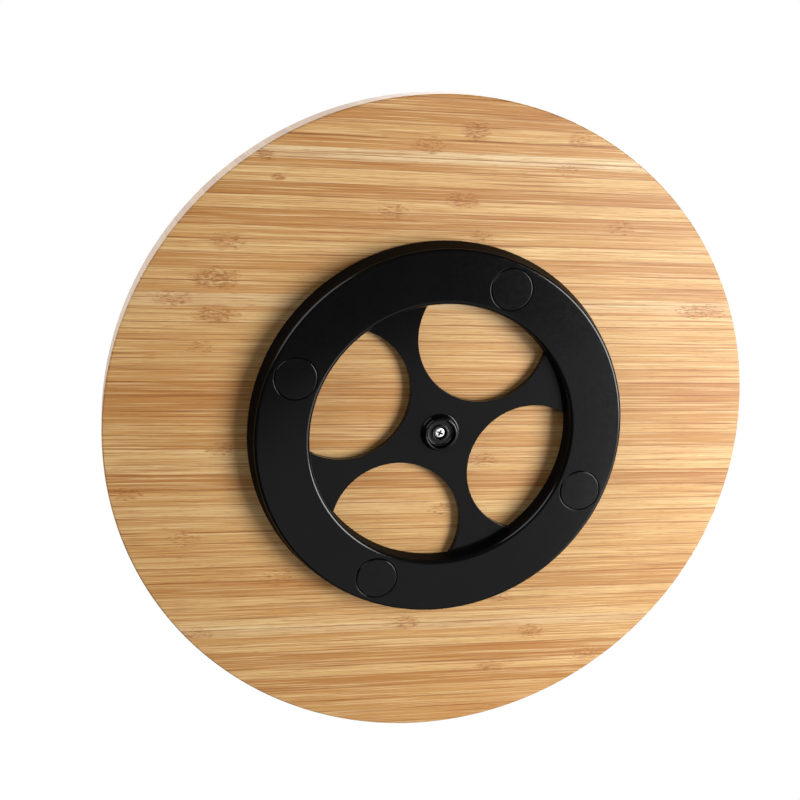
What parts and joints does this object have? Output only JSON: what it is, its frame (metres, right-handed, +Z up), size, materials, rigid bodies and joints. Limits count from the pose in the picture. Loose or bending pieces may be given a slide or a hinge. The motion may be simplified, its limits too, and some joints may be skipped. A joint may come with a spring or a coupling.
{
  "type": "turntable display stand",
  "caption": "Round bamboo display board turning on a ball-bearing ring base with a four-arm spider, centre pivot and anti-slip pads.",
  "frame": {"origin": "on the turning axis, at the surface the pads stand on", "axes": "+Z up along the turning axis, out of the display face; +X and +Y run along two arms of the base's spider"},
  "size_m": [0.3, 0.3, 0.0314],
  "materials": {
    "bamboo": "side-pressed bamboo strips, fine sanded, satin clear lacquer",
    "black_plastic": "satin black moulded ABS",
    "natural_plastic": "natural acetal, as moulded",
    "race_plastic": "dark grey acetal, as moulded",
    "bushing_plastic": "smooth black acetal",
    "pad_rubber": "fine matt black foam rubber",
    "ball_steel": "polished bearing steel",
    "screw_zinc": "bright zinc plated steel",
    "bright_zinc": "bright nickel plated steel"
  },
  "bodies": {
    "base": {"base": "black_plastic", "pad_1": "pad_rubber", "pad_2": "pad_rubber", "pad_3": "pad_rubber", "pad_4": "pad_rubber"},
    "turntable": {"board": "bamboo", "upper_race": "race_plastic", "race_screw_1": "screw_zinc", "race_screw_2": "screw_zinc", "race_screw_3": "screw_zinc", "race_screw_4": "screw_zinc", "race_screw_5": "screw_zinc", "race_screw_6": "screw_zinc", "pivot_bushing": "bushing_plastic", "centre_screw": "bright_zinc"},
    "cage": {"ball_cage": "natural_plastic"},
    "ball_1": {"ball_1": "ball_steel"},
    "ball_2": {"ball_2": "ball_steel"},
    "ball_3": {"ball_3": "ball_steel"},
    "ball_4": {"ball_4": "ball_steel"},
    "ball_5": {"ball_5": "ball_steel"},
    "ball_6": {"ball_6": "ball_steel"},
    "ball_7": {"ball_7": "ball_steel"},
    "ball_8": {"ball_8": "ball_steel"},
    "ball_9": {"ball_9": "ball_steel"},
    "ball_10": {"ball_10": "ball_steel"},
    "ball_11": {"ball_11": "ball_steel"},
    "ball_12": {"ball_12": "ball_steel"}
  },
  "joints": [
    {"name": "turntable_spin", "type": "hinge", "parent": "base", "child": "turntable", "pos_m": [0, 0, 0.0114], "axis": [0, 0, 1], "continuous": true},
    {"name": "cage_spin", "type": "hinge", "parent": "base", "child": "cage", "pos_m": [0, 0, 0.0059], "axis": [0, 0, 1], "continuous": true},
    {"name": "ball_1_roll", "type": "hinge", "parent": "cage", "child": "ball_1", "pos_m": [0.07022, 0.01882, 0.0059], "axis": [0.9659, 0.2588, 0], "continuous": true},
    {"name": "ball_2_roll", "type": "hinge", "parent": "cage", "child": "ball_2", "pos_m": [0.05141, 0.05141, 0.0059], "axis": [0.7071, 0.7071, 0], "continuous": true},
    {"name": "ball_3_roll", "type": "hinge", "parent": "cage", "child": "ball_3", "pos_m": [0.01882, 0.07022, 0.0059], "axis": [0.2588, 0.9659, 0], "continuous": true},
    {"name": "ball_4_roll", "type": "hinge", "parent": "cage", "child": "ball_4", "pos_m": [-0.01882, 0.07022, 0.0059], "axis": [-0.2588, 0.9659, 0], "continuous": true},
    {"name": "ball_5_roll", "type": "hinge", "parent": "cage", "child": "ball_5", "pos_m": [-0.05141, 0.05141, 0.0059], "axis": [-0.7071, 0.7071, 0], "continuous": true},
    {"name": "ball_6_roll", "type": "hinge", "parent": "cage", "child": "ball_6", "pos_m": [-0.07022, 0.01882, 0.0059], "axis": [-0.9659, 0.2588, 0], "continuous": true},
    {"name": "ball_7_roll", "type": "hinge", "parent": "cage", "child": "ball_7", "pos_m": [-0.07022, -0.01882, 0.0059], "axis": [-0.9659, -0.2588, 0], "continuous": true},
    {"name": "ball_8_roll", "type": "hinge", "parent": "cage", "child": "ball_8", "pos_m": [-0.05141, -0.05141, 0.0059], "axis": [-0.7071, -0.7071, 0], "continuous": true},
    {"name": "ball_9_roll", "type": "hinge", "parent": "cage", "child": "ball_9", "pos_m": [-0.01882, -0.07022, 0.0059], "axis": [-0.2588, -0.9659, 0], "continuous": true},
    {"name": "ball_10_roll", "type": "hinge", "parent": "cage", "child": "ball_10", "pos_m": [0.01882, -0.07022, 0.0059], "axis": [0.2588, -0.9659, 0], "continuous": true},
    {"name": "ball_11_roll", "type": "hinge", "parent": "cage", "child": "ball_11", "pos_m": [0.05141, -0.05141, 0.0059], "axis": [0.7071, -0.7071, 0], "continuous": true},
    {"name": "ball_12_roll", "type": "hinge", "parent": "cage", "child": "ball_12", "pos_m": [0.07022, -0.01882, 0.0059], "axis": [0.9659, -0.2588, 0], "continuous": true}
  ],
  "couplings": [
    {"joint": "cage_spin", "follows": "turntable_spin", "ratio": 0.5},
    {"joint": "ball_1_roll", "follows": "turntable_spin", "ratio": -12.117},
    {"joint": "ball_2_roll", "follows": "turntable_spin", "ratio": -12.117},
    {"joint": "ball_3_roll", "follows": "turntable_spin", "ratio": -12.117},
    {"joint": "ball_4_roll", "follows": "turntable_spin", "ratio": -12.117},
    {"joint": "ball_5_roll", "follows": "turntable_spin", "ratio": -12.117},
    {"joint": "ball_6_roll", "follows": "turntable_spin", "ratio": -12.117},
    {"joint": "ball_7_roll", "follows": "turntable_spin", "ratio": -12.117},
    {"joint": "ball_8_roll", "follows": "turntable_spin", "ratio": -12.117},
    {"joint": "ball_9_roll", "follows": "turntable_spin", "ratio": -12.117},
    {"joint": "ball_10_roll", "follows": "turntable_spin", "ratio": -12.117},
    {"joint": "ball_11_roll", "follows": "turntable_spin", "ratio": -12.117},
    {"joint": "ball_12_roll", "follows": "turntable_spin", "ratio": -12.117}
  ]
}
